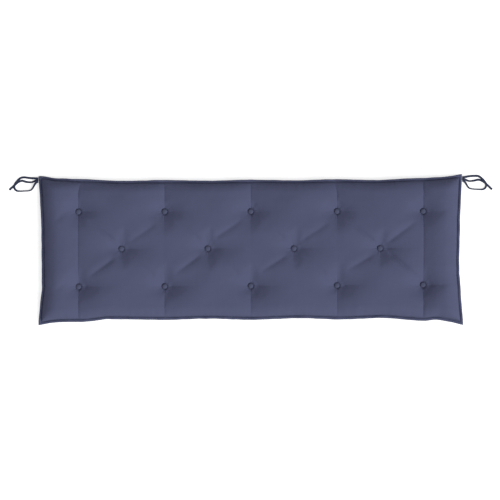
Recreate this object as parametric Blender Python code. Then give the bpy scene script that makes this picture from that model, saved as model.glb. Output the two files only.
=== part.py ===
"""A tufted bench cushion, lying on its back on a flat surface.

The cover is one filled solid: two panels sewn edge to edge, with a narrow top-stitched lip all round.
Fourteen covered buttons are sewn through it, and two flat tie tapes leave each of the upper corners.
Metres, +Z up. The origin is on the surface, under the middle of the cover; X runs along the cushion
and +Y points to the edge with the ties.
"""
import math

import bmesh
import bpy
from mathutils import Matrix, Vector

# --- driving sizes of the cover ------------------------------------------------------------------
LENGTH = 1.500  # between the middles of the short sides
WIDTH = 0.500  # between the middles of the long sides
THICKNESS = 0.070  # of the filled cover, before the buttons pull it in
LIP_WIDTH = 0.0105  # from the top-stitching to the folded edge
LIP_THICKNESS = 0.003
SEAM_HEIGHT = 0.031  # middle of the lip over the surface, halfway along a side
CORNER_HEIGHT = 0.014  # the same at the four corners, which are hardly filled
CORNER_DROOP_REACH = 0.070

# How the filling rises inside the seam. Above: a rounded shoulder and then a flat crown, with their
# reach from the short and from the long sides. Below: one tighter curve, the same on all sides.
SHOULDER_RISE, SHOULDER_END_REACH, SHOULDER_SIDE_REACH = 0.027, 0.050, 0.036
CROWN_END_REACH, CROWN_SIDE_REACH = 0.090, 0.110
BILGE_REACH, BILGE_POWER = 0.050, 1.8

# --- the buttons and what they pull in -----------------------------------------------------------
COLUMN_PITCH = 0.308
ROW_PITCH = 0.132
PATTERN_SHIFT = 0.0015  # the whole pattern sits a little to the right
SEAT_RADIUS = 0.0105  # flat bottom of a dimple, under its button
UNDER_DIMPLE_DEPTH, UNDER_DIMPLE_RADIUS = 0.009, 0.050
BLEND_POWER = 3  # sharp folds run into each other without adding up

# Row name, buttons, how far the row lies off its pattern line at its left and at its right end, the depth
# of the valley that runs along the row through its buttons, of the upright fold through each of them, and
# of the level folds that run out to their left and to their right.
BUTTON_ROWS = (
    ("upper", 5, 0.0025, 0.0050, 0.0080, 0.0000, 0.0012, 0.0042),
    ("middle", 4, 0.0020, 0.0055, 0.0160, 0.0050, 0.0022, 0.0075),
    ("lower", 5, -0.0020, 0.0065, 0.0120, 0.0000, 0.0030, 0.0090),
)

# The creases across the cushion, left to right: depth above the upper button, between the buttons and
# below the lower button, how far the pillow's slope runs out to its left and to its right, and how far the
# crease leans to the right at the upper edge.
COLUMN_CREASES = (
    (0.013, 0.012, 0.014, 0.080, 0.154, 0.010),
    (0.014, 0.003, 0.011, 0.154, 0.154, 0.000),
    (0.014, 0.003, 0.011, 0.154, 0.154, 0.000),
    (0.014, 0.003, 0.011, 0.154, 0.154, -0.012),
    (0.012, 0.012, 0.014, 0.154, 0.080, 0.000),
)
LEAN_REACH = 0.055  # from the edge inwards

# The slanting creases: the middle button, the sides in x and y that the crease runs to, its depth, and how
# far over its middle button it would start and over its outer one end.
DIAGONAL_CREASES = (
    (1, -1, 1, 0.0055, 0.012, -0.007),
    (2, -1, 1, 0.0035, 0.012, -0.007),
    (3, -1, 1, 0.0015, 0.012, -0.007),
    (4, -1, 1, 0.0060, 0.008, -0.007),
    (1, 1, 1, 0.0042, 0.006, -0.026),
    (2, 1, 1, 0.0052, 0.020, -0.010),
    (3, 1, 1, 0.0048, 0.011, -0.022),
    (4, 1, 1, 0.0068, 0.002, -0.016),
    (1, -1, -1, 0.0058, -0.016, 0.009),
    (2, -1, -1, 0.0055, -0.004, 0.017),
    (3, -1, -1, 0.0050, -0.009, 0.029),
    (4, -1, -1, 0.0050, -0.008, 0.034),
    (1, 1, -1, 0.0020, 0.000, 0.012),
    (2, 1, -1, 0.0020, 0.000, 0.012),
    (3, 1, -1, 0.0020, 0.000, 0.012),
    (4, 1, -1, 0.0085, 0.010, 0.012),
)
RISING_WIDTH, FALLING_WIDTH, DIAGONAL_POWER = 0.012, 0.007, 1.3  # those that rise to the right are wider
DIAGONAL_FROM, DIAGONAL_TO = (0.08, 0.28), (0.50, 0.88)  # shares of its way, where it starts and ends

# A button's dimple, the valley along its row, its upright fold, and the level folds at its left and at its
# right: how far they reach, and how wide they are under and over their line. All folds start a little
# outside the seat.
DIMPLE_DEPTH, DIMPLE_REACH, DIMPLE_POWER, DIMPLE_STRETCH = 0.013, 0.024, 0.90, 1.3
VALLEY_REACH, VALLEY_WIDTH, VALLEY_ROUND = 0.150, 0.040, 0.008
UPRIGHT_REACH, UPRIGHT_WIDTH = 0.062, 0.018
LEVEL_FOLDS = ((0.065, 0.006, 0.010), (0.150, 0.013, 0.028))
FOLD_START, LEVEL_FOLD_TURN = 0.018, 0.030

# --- the outline ---------------------------------------------------------------------------------
# The four sides: a place along each, and how far it stands out there past half the length or width.
# The long ones are drawn in between the creases.
UPPER_SIDE = (
    (-0.690, 0.0053),
    (-0.616, 0.0026),
    (-0.462, -0.0040),
    (-0.308, -0.0009),
    (-0.154, -0.0034),
    (0.000, 0.0002),
    (0.154, -0.0022),
    (0.308, 0.0019),
    (0.440, -0.0012),
    (0.600, 0.0060),
    (0.690, 0.0092),
)
LOWER_SIDE = (
    (-0.610, 0.0097),
    (-0.500, -0.0002),
    (-0.308, 0.0024),
    (-0.154, -0.0020),
    (0.000, 0.0020),
    (0.175, -0.0036),
    (0.320, 0.0008),
    (0.470, -0.0044),
    (0.620, 0.0056),
    (0.665, 0.0012),
    (0.700, 0.0045),
)
LEFT_SIDE = ((-0.185, 0.0010), (-0.130, -0.0034), (0.060, -0.0016), (0.190, 0.0028))
RIGHT_SIDE = ((-0.190, 0.0045), (-0.060, -0.0019), (0.090, 0.0008), (0.190, 0.0050))
# The corners: side in x and y, how far the tip stands out past its two sides, and how blunt it is.
CORNERS = (
    (-1, 1, 0.0077, 0.0085, 3.0),
    (1, 1, 0.0050, 0.0120, 1.5),
    (-1, -1, 0.0100, 0.0123, 1.5),
    (1, -1, 0.0100, 0.0165, 1.5),
)
EAR_REACH, EAR_SIDE_REACH = 0.041, 0.055
OUTLINE_DEPTH = 0.120  # the outline's unevenness dies away this far inside the edge
LIP_WAVE, LIP_WAVE_LENGTH = 0.0016, 0.143

# --- buttons and ties ----------------------------------------------------------------------------
BUTTON_RADIUS = 0.0100
BUTTON_SIDES = 14
GAP = 0.0003  # between pieces that touch
# Profile of a covered button: share of its radius, and height over the seat.
BUTTON_PROFILE = (
    (0.50, 0.0000),
    (0.80, 0.0012),
    (0.98, 0.0030),
    (0.97, 0.0044),
    (0.82, 0.0062),
    (0.50, 0.0076),
)
BUTTON_HEIGHT = 0.0082

TAPE_WIDTH = 0.0080
TAPE_THICKNESS = 0.0014
TAPE_STEP = 0.0075  # distance between two sections of a tape

# Each tie's route by hand: x, y and z of its middle line and the roll of the tape in degrees,
# 0 flat and 90 on edge. It leaves the corner of the seam, drops, and lies on the surface.
TIE_ROUTES = {
    "tie_left_loop": (
        (-0.7609, 0.2552, 0.0124, 0),
        (-0.7700, 0.2555, 0.0108, 0),
        (-0.7920, 0.2567, 0.0050, 16),
        (-0.8140, 0.2594, 0.0024, 10),
        (-0.8275, 0.2560, 0.0030, 5),
        (-0.8382, 0.2463, 0.0034, 2),
        (-0.8462, 0.2352, 0.0034, 0),
        (-0.8490, 0.2266, 0.0032, 4),
        (-0.8480, 0.2198, 0.0029, 12),
        (-0.8444, 0.2143, 0.0030, 24),
        (-0.8391, 0.2109, 0.0032, 38),
        (-0.8328, 0.2098, 0.0035, 50),
        (-0.8240, 0.2098, 0.0036, 59),
        (-0.8100, 0.2104, 0.0036, 62),
        (-0.7970, 0.2112, 0.0036, 62),
        (-0.7885, 0.2143, 0.0043, 58),
        (-0.7823, 0.2206, 0.0064, 52),
        (-0.7775, 0.2285, 0.0096, 44),
        (-0.7727, 0.2360, 0.0128, 28),
        (-0.7671, 0.2413, 0.0151, 12),
        (-0.7610, 0.2439, 0.0163, 0),
    ),
    "tie_left_tail": (
        (-0.7604, 0.2490, 0.0144, 0),
        (-0.7670, 0.2485, 0.0137, 0),
        (-0.7740, 0.2458, 0.0106, 14),
        (-0.7870, 0.2418, 0.0050, 38),
        (-0.8060, 0.2430, 0.0024, 24),
        (-0.8200, 0.2470, 0.0012, 6),
        (-0.8340, 0.2430, 0.0010, 0),
        (-0.8470, 0.2325, 0.0010, 0),
        (-0.8580, 0.2225, 0.0010, 0),
        (-0.8672, 0.2142, 0.0012, 6),
    ),
    "tie_right_loop": (
        (0.7606, 0.2592, 0.0124, 0),
        (0.7700, 0.2603, 0.0106, 0),
        (0.7850, 0.2632, 0.0064, -16),
        (0.8030, 0.2648, 0.0024, -12),
        (0.8205, 0.2638, 0.0028, -6),
        (0.8328, 0.2552, 0.0034, -2),
        (0.8418, 0.2456, 0.0034, 0),
        (0.8468, 0.2378, 0.0034, 0),
        (0.8484, 0.2307, 0.0032, -4),
        (0.8466, 0.2243, 0.0030, -14),
        (0.8421, 0.2192, 0.0031, -28),
        (0.8358, 0.2164, 0.0034, -42),
        (0.8280, 0.2158, 0.0036, -56),
        (0.8185, 0.2162, 0.0036, -61),
        (0.8060, 0.2169, 0.0036, -62),
        (0.7955, 0.2180, 0.0036, -62),
        (0.7873, 0.2209, 0.0043, -58),
        (0.7812, 0.2268, 0.0064, -52),
        (0.7764, 0.2340, 0.0096, -44),
        (0.7717, 0.2408, 0.0128, -28),
        (0.7663, 0.2457, 0.0151, -12),
        (0.7609, 0.2480, 0.0163, 0),
    ),
    "tie_right_tail": (
        (0.7600, 0.2530, 0.0144, 0),
        (0.7667, 0.2526, 0.0137, 0),
        (0.7740, 0.2500, 0.0106, -14),
        (0.7880, 0.2462, 0.0050, -38),
        (0.8060, 0.2480, 0.0024, -24),
        (0.8220, 0.2510, 0.0012, -4),
        (0.8390, 0.2440, 0.0010, 0),
        (0.8525, 0.2325, 0.0010, 0),
        (0.8620, 0.2236, 0.0010, 0),
        (0.8698, 0.2158, 0.0012, -6),
    ),
}

# --- colours, sRGB -------------------------------------------------------------------------------
CLOTH_HEX = "#515570"
BUTTON_HEX = "#4f536b"
TAPE_HEX = "#343a50"


def smooth(share):
    share = min(max(share, 0.0), 1.0)
    return share * share * (3 - 2 * share)


def rise(distance, reach, power):
    """How full the cushion is at this distance inside the seam, from 0 to 1: a superellipse."""
    short = 1 - min(max(distance / reach, 0.0), 1.0)
    return (1 - short**power) ** (1 / power)


# --- the pattern of buttons: every place below is in the flat pattern, before the cushion is laid --
def button_places():
    """(name, x, y, depths of its valley and its folds) of each button in the flat pattern."""
    places = []
    for row, (name, count, _, _, *depths) in enumerate(BUTTON_ROWS):
        for i in range(count):
            x = (i - (count - 1) / 2) * COLUMN_PITCH
            places.append((f"button_{name}_{i + 1}", x, (1 - row) * ROW_PITCH, depths))
    return places


def column_crease(x, y):
    """Depth at (x, y) of the pillows' long slopes down to the creases that cross the cushion."""
    slope = 0.0
    share = smooth((abs(y) - ROW_PITCH * 0.35) / (ROW_PITCH * 0.85))
    near_edge = smooth(1 - (WIDTH / 2 - y) / LEAN_REACH)
    for column, (above, between, below, left, right, lean) in enumerate(COLUMN_CREASES):
        depth = between + ((above if y > 0 else below) - between) * share
        off = x - (column - 2) * COLUMN_PITCH - lean * near_edge
        slope += depth * max(1 - abs(off) / (left if off < 0 else right), 0.0) ** 2
    return slope


def diagonal_crease(x, y):
    """Depth at (x, y) of the slanting creases from the middle buttons to the outer ones."""
    deepest = 0.0
    for button, side_x, side_y, depth, start_up, end_up in DIAGONAL_CREASES:
        along_x, along_y = side_x * COLUMN_PITCH / 2, side_y * ROW_PITCH + end_up - start_up
        off_x, off_y = x - (button - 2.5) * COLUMN_PITCH, y - start_up
        share = (off_x * along_x + off_y * along_y) / (along_x**2 + along_y**2)
        inside = min(max(share, 0.0), 1.0)
        distance = math.hypot(off_x - inside * along_x, off_y - inside * along_y)
        fade = smooth((inside - DIAGONAL_FROM[0]) / (DIAGONAL_FROM[1] - DIAGONAL_FROM[0]))
        fade *= 1 - smooth((inside - DIAGONAL_TO[0]) / (DIAGONAL_TO[1] - DIAGONAL_TO[0]))
        width = RISING_WIDTH if side_x == side_y else FALLING_WIDTH
        across = math.exp(-((distance / width) ** DIAGONAL_POWER))
        deepest = max(deepest, depth * fade * across)
    return deepest


def button_pull(x, y):
    """Depth at (x, y) of the dimples and the valleys along the rows, and that of the folds beside them."""
    dimple, fold = 0.0, 0.0
    for _, button_x, button_y, (valley_depth, upright_depth, *fold_depths) in button_places():
        off_x, off_y = abs(x - button_x), abs(y - button_y)
        away = math.hypot(off_x, off_y)
        outside = max(away - SEAT_RADIUS, 0.0)
        stretch = math.hypot(off_x / DIMPLE_STRETCH, off_y) / max(away, SEAT_RADIUS)
        dimple += DIMPLE_DEPTH * math.exp(-((outside * stretch / DIMPLE_REACH) ** DIMPLE_POWER))
        along = (math.hypot(off_x, VALLEY_ROUND) - VALLEY_ROUND) / VALLEY_REACH
        dimple += valley_depth * max(1 - along, 0.0) ** 2 * math.exp(-((off_y / VALLEY_WIDTH) ** 2))
        right = smooth((x - button_x) / LEVEL_FOLD_TURN + 0.5)
        sides = zip(*((depth, *sizes) for depth, sizes in zip(fold_depths, LEVEL_FOLDS)))
        depth, reach, under, over = (at_left + (at_right - at_left) * right for at_left, at_right in sides)
        level = depth * max(1 - off_x / reach, 0.0) ** 2
        level *= math.exp(-off_y / (under if y < button_y else over))
        upright = upright_depth * max(1 - off_y / UPRIGHT_REACH, 0.0) ** 2 * math.exp(-off_x / UPRIGHT_WIDTH)
        fold = max(fold, smooth(outside / FOLD_START) * max(level, upright))
    return dimple, fold


def pulled_in(x, y):
    dimple, fold = button_pull(x, y)
    folds = (diagonal_crease(x, y) ** BLEND_POWER + fold**BLEND_POWER) ** (1 / BLEND_POWER)
    return column_crease(x, y) + dimple + folds


# --- the cover's shape ---------------------------------------------------------------------------
def inside_seam(x, y):
    """Distance inside the stitch line from the short and from the long sides."""
    return LENGTH / 2 - LIP_WIDTH - abs(x), WIDTH / 2 - LIP_WIDTH - abs(y)


def seam_height(x, y):
    corner = math.hypot(LENGTH / 2 - abs(x), WIDTH / 2 - abs(y))
    near_corner = math.exp(-((corner / CORNER_DROOP_REACH) ** 2))
    wave = LIP_WAVE * math.sin((x + 2 * y) / LIP_WAVE_LENGTH * math.tau)
    return SEAM_HEIGHT + wave + (CORNER_HEIGHT - SEAM_HEIGHT - wave) * near_corner


def top_height(x, y):
    for _, button_x, button_y, _ in button_places():
        if math.hypot(x - button_x, y - button_y) <= SEAT_RADIUS:
            x, y = button_x, button_y
    from_end, from_side = inside_seam(x, y)
    lip_top = seam_height(x, y) + LIP_THICKNESS / 2
    if min(from_end, from_side) <= 0:
        return lip_top
    full = rise(from_end, SHOULDER_END_REACH, 2) * rise(from_side, SHOULDER_SIDE_REACH, 2)
    shoulder_top = SEAM_HEIGHT + LIP_THICKNESS / 2 + SHOULDER_RISE
    crown = (THICKNESS - shoulder_top) * (1 - max(1 - from_end / CROWN_END_REACH, 0.0) ** 2)
    crown *= 1 - max(1 - from_side / CROWN_SIDE_REACH, 0.0) ** 2
    return lip_top * (1 - full) + (shoulder_top + crown - pulled_in(x, y)) * full


def underside_height(x, y):
    """Flat on the surface, but for a shallow hollow where each button's thread comes through."""
    from_end, from_side = inside_seam(x, y)
    full = rise(from_end, BILGE_REACH, BILGE_POWER) * rise(from_side, BILGE_REACH, BILGE_POWER)
    hollow = 0.0
    for _, button_x, button_y, _ in button_places():
        near = 1 - math.hypot(x - button_x, y - button_y) / UNDER_DIMPLE_RADIUS
        hollow = max(hollow, UNDER_DIMPLE_DEPTH * max(near, 0.0) ** 2)
    seam = seam_height(x, y) - LIP_THICKNESS / 2
    return seam * (1 - full) + hollow * full


def along_side(place, stations):
    """How far a side stands out: a smooth line through its stations."""
    out = stations[0][1]
    for (start, start_out), (end, end_out) in zip(stations, stations[1:]):
        out += (end_out - start_out) * smooth((place - start) / (end - start))
    return out


def long_side_out(x, upper):
    """How far the upper or lower long side stands out at x, past half the width."""
    out = along_side(x, UPPER_SIDE if upper else LOWER_SIDE)
    for side_x, side_y, _, tip_y, bluntness in CORNERS:
        if (side_y > 0) == upper:
            distance = max(LENGTH / 2 - side_x * x, 0.0)
            out += tip_y * math.exp(-((distance / EAR_REACH) ** bluntness))
    return out


def short_side_out(y, right):
    """How far the right or left short side stands out at y, past half the length."""
    out = along_side(y, RIGHT_SIDE if right else LEFT_SIDE)
    for side_x, side_y, tip_x, _, _ in CORNERS:
        if (side_x > 0) == right:
            distance = WIDTH / 2 - side_y * y
            out += tip_x * math.exp(-((distance / EAR_SIDE_REACH) ** 2))
    return out


def row_shift(x, y):
    """How far the point's row of buttons lies off its pattern line: nothing at the long sides."""
    share = (x + LENGTH / 2) / LENGTH
    shifts = [0.0]
    for _, _, at_left, at_right, *_ in BUTTON_ROWS:
        shifts.append(at_left + (at_right - at_left) * share)
    shifts.append(0.0)
    lines = (WIDTH / 2, ROW_PITCH, 0.0, -ROW_PITCH, -WIDTH / 2)
    for i in range(len(lines) - 1):
        if y >= lines[i + 1]:
            break
    part = (lines[i] - y) / (lines[i] - lines[i + 1])
    return shifts[i] + (shifts[i + 1] - shifts[i]) * part


def laid(x, y):
    """Where a point of the flat pattern lies on the finished cushion, seen from above."""
    near_end = smooth(1 - (LENGTH / 2 - abs(x)) / OUTLINE_DEPTH)
    near_side = smooth(1 - (WIDTH / 2 - abs(y)) / OUTLINE_DEPTH)
    out_x = math.copysign(near_end, x) * short_side_out(y, x > 0)
    out_y = math.copysign(near_side, y) * long_side_out(x, y > 0)
    return x + out_x + PATTERN_SHIFT * (1 - near_end), y + out_y + row_shift(x, y)


# --- the grid lines of the cover -----------------------------------------------------------------
# Shares of the way from an outer button to the next middle one: close together near a button, and
# the same along and across, so that the slanting creases run through the grid's points.
PITCH_SHARES = (0.0, 0.048, 0.15, 0.38, 0.62, 0.85, 0.952)
EDGE_STEPS = (0.0, 0.008, 0.014, 0.028, 0.050, 0.078)  # from the edge of the lip inwards
FLAT_WITHIN = 1e-6  # a point of the underside this near the surface lies on it


def grid_lines(half_size, outer, pitch, pitches):
    """Lines from -half_size to half_size, with the outermost buttons at +-outer."""
    edge = [half_size - step for step in EDGE_STEPS]
    edge += [outer + share * pitch for share in PITCH_SHARES[2:0:-1]]
    between = [-outer + (i + share) * pitch for i in range(pitches) for share in PITCH_SHARES]
    return [-line for line in edge] + between + [outer] + edge[::-1]


def cover(material):
    """The filled cover: a top and an underside on one grid, joined round the edge of the lip."""
    columns = grid_lines(LENGTH / 2, 2 * COLUMN_PITCH, COLUMN_PITCH / 2, 8)
    rows = grid_lines(WIDTH / 2, ROW_PITCH, ROW_PITCH, 2)
    mesh = bmesh.new()
    layers = []
    for height in (top_height, underside_height):
        layers.append([[mesh.verts.new((*laid(x, y), height(x, y))) for y in rows] for x in columns])
    top, under = layers
    for i in range(len(columns) - 1):
        for j in range(len(rows) - 1):
            corners = ((i, j), (i + 1, j), (i + 1, j + 1), (i, j + 1))
            if not cut_rises((columns[i] + columns[i + 1]) / 2, (rows[j] + rows[j + 1]) / 2):
                corners = corners[1:] + corners[:1]
            a, b, c, d = corners
            for layer, facing in ((top, 1), (under, -1)):
                for triangle in ((a, b, c), (a, c, d)):
                    mesh.faces.new([layer[p][q] for p, q in triangle[::facing]])
    rim = [(i, 0) for i in range(len(columns))]
    rim += [(len(columns) - 1, j) for j in range(1, len(rows))]
    rim += [(i, len(rows) - 1) for i in reversed(range(len(columns) - 1))]
    rim += [(0, j) for j in reversed(range(1, len(rows) - 1))]
    for (i, j), (k, m) in zip(rim, rim[1:] + rim[:1]):
        mesh.faces.new((under[i][j], under[k][m], top[k][m], top[i][j]))
    mesh.normal_update()
    flat = [edge for edge in mesh.edges if all(abs(vert.co.z) < FLAT_WITHIN for vert in edge.verts)]
    level = list({vert for edge in flat for vert in edge.verts})
    bmesh.ops.dissolve_limit(mesh, angle_limit=math.radians(0.5), verts=level, edges=flat)
    return finished("cushion_cover", mesh, material, sharp_angle=60)


def cut_rises(x, y):
    """Whether a cell is cut from its lower left to its upper right, along the slanting creases."""
    half_pitches = math.floor(2 * x / COLUMN_PITCH)
    return (half_pitches % 2 == 1) == (y > 0)


# --- buttons -------------------------------------------------------------------------------------
def button(name, x, y, material):
    """A covered button: a turned dome, with its underside narrowed to sit in the dimple."""
    mesh = bmesh.new()
    rings = []
    for share, height in BUTTON_PROFILE:
        ring = []
        for k in range(BUTTON_SIDES):
            turn = math.tau * k / BUTTON_SIDES
            radius = share * BUTTON_RADIUS
            ring.append(mesh.verts.new((radius * math.cos(turn), radius * math.sin(turn), height)))
        rings.append(ring)
    for lower, upper in zip(rings, rings[1:]):
        for k in range(BUTTON_SIDES):
            n = (k + 1) % BUTTON_SIDES
            mesh.faces.new((lower[k], lower[n], upper[n], upper[k]))
    mesh.faces.new(rings[0][::-1])
    peak = mesh.verts.new((0, 0, BUTTON_HEIGHT))
    for k in range(BUTTON_SIDES):
        mesh.faces.new((rings[-1][k], rings[-1][(k + 1) % BUTTON_SIDES], peak))
    made = finished(name, mesh, material, sharp_angle=70)
    made.location = (*laid(x, y), top_height(x, y) + GAP)
    return made


# --- ties ----------------------------------------------------------------------------------------
def through(points, share):
    """A point at this share of the way along a Catmull-Rom curve through the points."""
    place = share * (len(points) - 1)
    i = min(int(place), len(points) - 2)
    t = place - i
    before, start, end, after = (points[min(max(k, 0), len(points) - 1)] for k in (i - 1, i, i + 1, i + 2))
    return tuple(
        0.5 * (2 * b + (c - a) * t + (2 * a - 5 * b + 4 * c - d) * t**2 + (3 * b - a - 3 * c + d) * t**3)
        for a, b, c, d in zip(before, start, end, after)
    )


def tie(name, route, material):
    """A flat tape along its route: one rectangular section after another, rolled as the route says."""
    length = sum(math.dist(a[:3], b[:3]) for a, b in zip(route, route[1:]))
    count = round(length / TAPE_STEP)
    samples = [through(route, k / count) for k in range(count + 1)]
    mesh = bmesh.new()
    sections = []
    for k, (x, y, z, roll) in enumerate(samples):
        before, after = samples[max(k - 1, 0)], samples[min(k + 1, count)]
        along = (Vector(after[:3]) - Vector(before[:3])).normalized()
        level = along.cross(Vector((0, 0, 1))).normalized()
        turn = math.radians(roll)
        across = Matrix.Rotation(turn, 3, along) @ level
        up = across.cross(along)
        half_width, half_thickness = across * TAPE_WIDTH / 2, up * TAPE_THICKNESS / 2
        half_height = (TAPE_WIDTH * abs(math.sin(turn)) + TAPE_THICKNESS * math.cos(turn)) / 2
        middle = Vector((x, y, max(z, half_height + GAP / 2)))
        corners = (half_width + half_thickness, half_thickness - half_width)
        sections.append([mesh.verts.new(middle + c) for c in (*corners, -corners[0], -corners[1])])
    for a, b in zip(sections, sections[1:]):
        for k in range(4):
            n = (k + 1) % 4
            mesh.faces.new((a[k], a[n], b[n], b[k]))
    mesh.faces.new(sections[0][::-1])
    mesh.faces.new(sections[-1])
    bmesh.ops.recalc_face_normals(mesh, faces=mesh.faces)
    return finished(name, mesh, material, sharp_angle=40)


# --- objects and materials -----------------------------------------------------------------------
def finished(name, mesh, material, sharp_angle):
    data = bpy.data.meshes.new(name)
    mesh.to_mesh(data)
    mesh.free()
    data.materials.append(material)
    data.shade_smooth()
    data.set_sharp_from_angle(angle=math.radians(sharp_angle))
    made = bpy.data.objects.new(name, data)
    bpy.context.scene.collection.objects.link(made)
    return made


def linear(hex_colour):
    """An sRGB hex colour as linear RGBA."""
    channels = [int(hex_colour[i : i + 2], 16) / 255 for i in (1, 3, 5)]
    return (*[c / 12.92 if c <= 0.04045 else ((c + 0.055) / 1.055) ** 2.4 for c in channels], 1.0)


def cloth_material(name, hex_colour, roughness):
    material = bpy.data.materials.new(name)
    material.use_nodes = True
    shader = material.node_tree.nodes["Principled BSDF"]
    shader.inputs["Base Color"].default_value = linear(hex_colour)
    shader.inputs["Roughness"].default_value = roughness
    shader.inputs["Metallic"].default_value = 0.0
    return material


def main():
    for old in list(bpy.data.objects):
        bpy.data.objects.remove(old)
    cover(cloth_material("woven_polyester", CLOTH_HEX, 0.85))
    covered = cloth_material("button_cloth", BUTTON_HEX, 0.80)
    for name, x, y, _ in button_places():
        button(name, x, y, covered)
    tape = cloth_material("tie_tape", TAPE_HEX, 0.85)
    for name, route in TIE_ROUTES.items():
        tie(name, route, tape)


main()
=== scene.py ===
"""The looks of a tufted bench cushion that lies on its back, seen from straight above.

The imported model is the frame. The filled cover, its fourteen covered buttons and its four tie tapes each
stand for one solid of it. Metres, +Z up, the origin on the surface under the middle of the cover.
"""
import math

import bmesh
import bpy
import numpy as np
from mathutils import Matrix, Vector


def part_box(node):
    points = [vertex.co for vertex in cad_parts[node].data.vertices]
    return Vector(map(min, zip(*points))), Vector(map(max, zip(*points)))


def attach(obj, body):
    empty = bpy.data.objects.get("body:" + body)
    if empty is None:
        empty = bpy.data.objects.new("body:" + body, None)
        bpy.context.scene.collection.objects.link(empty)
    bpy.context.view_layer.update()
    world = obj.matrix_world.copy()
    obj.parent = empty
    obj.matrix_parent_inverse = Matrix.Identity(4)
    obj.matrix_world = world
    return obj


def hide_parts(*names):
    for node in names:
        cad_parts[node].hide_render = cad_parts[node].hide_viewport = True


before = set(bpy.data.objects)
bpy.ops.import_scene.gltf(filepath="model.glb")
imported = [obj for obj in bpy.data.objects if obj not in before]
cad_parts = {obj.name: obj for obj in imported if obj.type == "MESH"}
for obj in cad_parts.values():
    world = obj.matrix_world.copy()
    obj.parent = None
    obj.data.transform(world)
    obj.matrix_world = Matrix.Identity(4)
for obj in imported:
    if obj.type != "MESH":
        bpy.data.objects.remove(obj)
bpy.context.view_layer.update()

# --- sizes that the looks share with the solids --------------------------------------------------
LENGTH, WIDTH, THICKNESS = 1.500, 0.500, 0.070
LIP_WIDTH, LIP_THICKNESS = 0.0105, 0.003
SEAM_HEIGHT, CORNER_HEIGHT, CORNER_DROOP_REACH = 0.031, 0.014, 0.070
BILGE_REACH, BILGE_POWER = 0.050, 1.8
COLUMN_PITCH, ROW_PITCH, PATTERN_SHIFT = 0.308, 0.132, 0.0015
SEAT_RADIUS = 0.0105
UNDER_DIMPLE_DEPTH, UNDER_DIMPLE_RADIUS = 0.009, 0.050
GAP = 0.0003

# Row name, buttons, how far the row lies off its pattern line at its left and at its right end, the depth
# of the valley that runs along the row through its buttons, of the upright fold through each of them, and
# of the level folds that run out to their left and to their right.
BUTTON_ROWS = (
    ("upper", 5, 0.0025, 0.0050, 0.0080, 0.0000, 0.0012, 0.0042),
    ("middle", 4, 0.0020, 0.0055, 0.0160, 0.0050, 0.0022, 0.0075),
    ("lower", 5, -0.0020, 0.0065, 0.0120, 0.0000, 0.0030, 0.0090),
)
# The four sides: a place along each, and how far it stands out there past half the length or width.
UPPER_SIDE = (
    (-0.690, 0.0053),
    (-0.616, 0.0026),
    (-0.462, -0.0040),
    (-0.308, -0.0009),
    (-0.154, -0.0034),
    (0.000, 0.0002),
    (0.154, -0.0022),
    (0.308, 0.0019),
    (0.440, -0.0012),
    (0.600, 0.0060),
    (0.690, 0.0092),
)
LOWER_SIDE = (
    (-0.610, 0.0097),
    (-0.500, -0.0002),
    (-0.308, 0.0024),
    (-0.154, -0.0020),
    (0.000, 0.0020),
    (0.175, -0.0036),
    (0.320, 0.0008),
    (0.470, -0.0044),
    (0.620, 0.0056),
    (0.665, 0.0012),
    (0.700, 0.0045),
)
LEFT_SIDE = ((-0.185, 0.0010), (-0.130, -0.0034), (0.060, -0.0016), (0.190, 0.0028))
RIGHT_SIDE = ((-0.190, 0.0045), (-0.060, -0.0019), (0.090, 0.0008), (0.190, 0.0050))
# The corners: side in x and y, how far the tip stands out past its two sides, and how blunt it is.
CORNERS = (
    (-1, 1, 0.0077, 0.0085, 3.0),
    (1, 1, 0.0050, 0.0120, 1.5),
    (-1, -1, 0.0100, 0.0123, 1.5),
    (1, -1, 0.0100, 0.0165, 1.5),
)
EAR_REACH, EAR_SIDE_REACH = 0.041, 0.055
OUTLINE_DEPTH = 0.120
LIP_WAVE, LIP_WAVE_LENGTH = 0.0016, 0.143

# --- how the filling rises inside the seam, and how the buttons pull it in ------------------------
# A rounded shoulder, then a flat crown: height, and reach from the short and from the long sides.
SHOULDER_RISE, SHOULDER_END_REACH, SHOULDER_SIDE_REACH = 0.027, 0.050, 0.036
CROWN_END_REACH, CROWN_SIDE_REACH = 0.090, 0.110

# The creases across the cushion, left to right: depth above the upper button, between the buttons and
# below the lower button, how far the pillow's slope runs out to its left and to its right, and how far the
# crease leans to the right at the upper edge.
COLUMN_CREASES = (
    (0.013, 0.012, 0.014, 0.080, 0.154, 0.010),
    (0.014, 0.003, 0.011, 0.154, 0.154, 0.000),
    (0.014, 0.003, 0.011, 0.154, 0.154, 0.000),
    (0.014, 0.003, 0.011, 0.154, 0.154, -0.012),
    (0.012, 0.012, 0.014, 0.154, 0.080, 0.000),
)
LEAN_REACH = 0.055  # from the edge inwards
BETWEEN_ROWS, BETWEEN_ROWS_REACH = 0.35, 0.85  # shares of the row pitch: where "between" ends, how softly
CREASE_LINE_WIDTH, CREASE_LINE_DEPTH = 0.004, 0.0011  # the sharp bottom of a deep crease
CREASE_LINE_FROM, CREASE_LINE_RANGE = 0.004, 0.008  # depths from which it starts to show, and shows whole

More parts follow.
